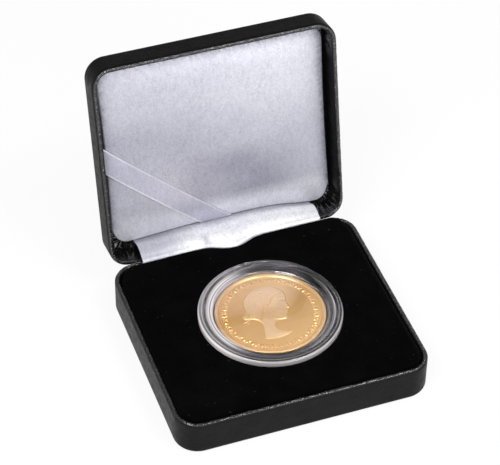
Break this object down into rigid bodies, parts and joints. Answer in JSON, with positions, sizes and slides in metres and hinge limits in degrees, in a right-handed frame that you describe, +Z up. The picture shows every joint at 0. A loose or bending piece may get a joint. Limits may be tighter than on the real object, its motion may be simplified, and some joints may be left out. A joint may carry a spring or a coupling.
{
  "type": "coin case",
  "caption": "Hinged leatherette case with a velvet insert, satin-lined lid and a clear round capsule that holds a gold coin.",
  "frame": {"origin": "centre of the base's underside", "axes": "+Z up out of the base, -Y to the case's front, hinge along X at +Y"},
  "size_m": [0.052, 0.0621, 0.0508],
  "materials": {
    "leatherette": "fine-grained black leatherette",
    "pressed_steel": "grey primed sheet",
    "filler": "open foam",
    "velvet": "short black pile",
    "hinge_steel": "plain rolled steel",
    "rivet_brass": "plain",
    "spring_steel": "blued spring steel",
    "satin": "white satin with a soft sheen",
    "card": "grey pressed card",
    "clear_plastic": "clear polished acrylic",
    "gold": "struck gold with a bright rim"
  },
  "bodies": {
    "base": {"base_cover": "leatherette", "base_shell": "pressed_steel", "insert_block": "filler", "velvet_pad": "velvet", "recess_disc": "velvet", "hinge_leaf_base": "hinge_steel", "hinge_pin": "hinge_steel", "hinge_rivets_base": "rivet_brass", "snap_spring": "spring_steel", "hinge_strip": "satin"},
    "lid": {"lid_cover": "leatherette", "lid_shell": "pressed_steel", "hinge_leaf_lid": "hinge_steel", "hinge_rivets_lid": "rivet_brass", "pad_board": "card", "pad_foam": "filler", "lid_satin": "satin", "satin_ribbon": "satin"},
    "capsule_lower": {"capsule_bottom": "clear_plastic"},
    "capsule_upper": {"capsule_top": "clear_plastic"},
    "coin": {"coin": "gold"}
  },
  "joints": [
    {"name": "lid_hinge", "type": "hinge", "parent": "base", "child": "lid", "pos_m": [0, 0.02245, 0.0072], "axis": [-1, 0, 0], "range_deg": [-102.2, 0], "deforming": ["hinge_strip", "snap_spring"]},
    {"name": "capsule_lift", "type": "slide", "parent": "base", "child": "capsule_lower", "axis": [0, 0, 1], "range_m": [0, 0.03]},
    {"name": "capsule_top_lift", "type": "slide", "parent": "capsule_lower", "child": "capsule_upper", "axis": [0, 0, 1], "range_m": [0, 0.03]},
    {"name": "coin_lift", "type": "slide", "parent": "capsule_lower", "child": "coin", "axis": [0, 0, 1], "range_m": [0, 0.015]}
  ],
  "couplings": [
    {"joint": "coin_lift", "follows": "capsule_top_lift", "ratio": 0.5}
  ]
}
